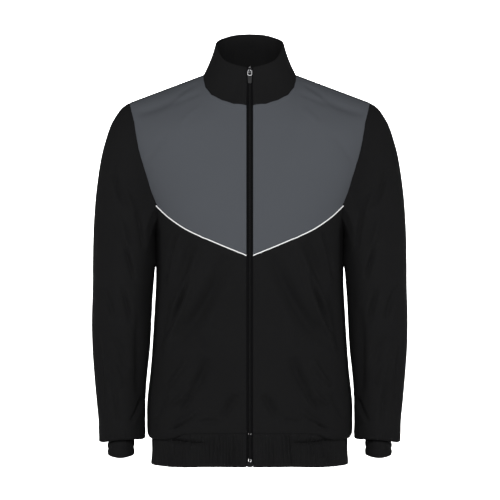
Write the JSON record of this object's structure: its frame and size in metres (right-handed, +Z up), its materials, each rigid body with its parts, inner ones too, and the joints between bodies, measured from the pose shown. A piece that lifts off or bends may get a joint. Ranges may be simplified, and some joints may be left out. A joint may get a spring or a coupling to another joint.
{
  "type": "full-zip track jacket",
  "caption": "Worn-form full-zip track jacket: stand collar, contrast front yokes with piping, long set-in sleeves, gathered hem band and cuffs, swinging zip pull.",
  "frame": {"origin": "on the centre line at the height of the shoulder's neck end, in the middle of the neck hole", "axes": "+Z up along the wearer's spine, -Y to the front, +X to the wearer's left"},
  "size_m": [0.5828, 0.2611, 0.799],
  "materials": {
    "black_knit": "matte knit",
    "grey_knit": "matte knit",
    "white_piping": "satin",
    "zip_tape": "matte woven tape",
    "zip_coil": "satin",
    "bright_metal": "polished",
    "grey_moulding": "satin"
  },
  "bodies": {
    "garment": {"back": "black_knit", "front_left": "black_knit", "front_right": "black_knit", "yoke_left": "grey_knit", "yoke_right": "grey_knit", "sleeve_left": "black_knit", "sleeve_right": "black_knit", "collar": "black_knit", "hem_band": "black_knit", "cuff_left": "black_knit", "cuff_right": "black_knit", "piping_left": "white_piping", "piping_right": "white_piping", "zip_tape_left": "zip_tape", "zip_tape_right": "zip_tape", "zip_chain": "zip_coil", "zip_box": "zip_coil", "zip_slider": "bright_metal"},
    "pull": {"zip_pull_loop": "bright_metal", "zip_pull_tab": "grey_moulding"}
  },
  "joints": [
    {"name": "pull_swing", "type": "hinge", "parent": "garment", "child": "pull", "pos_m": [0, -0.06495, 0.00701], "axis": [-1, 0, 0], "range_deg": [0, 160]}
  ]
}
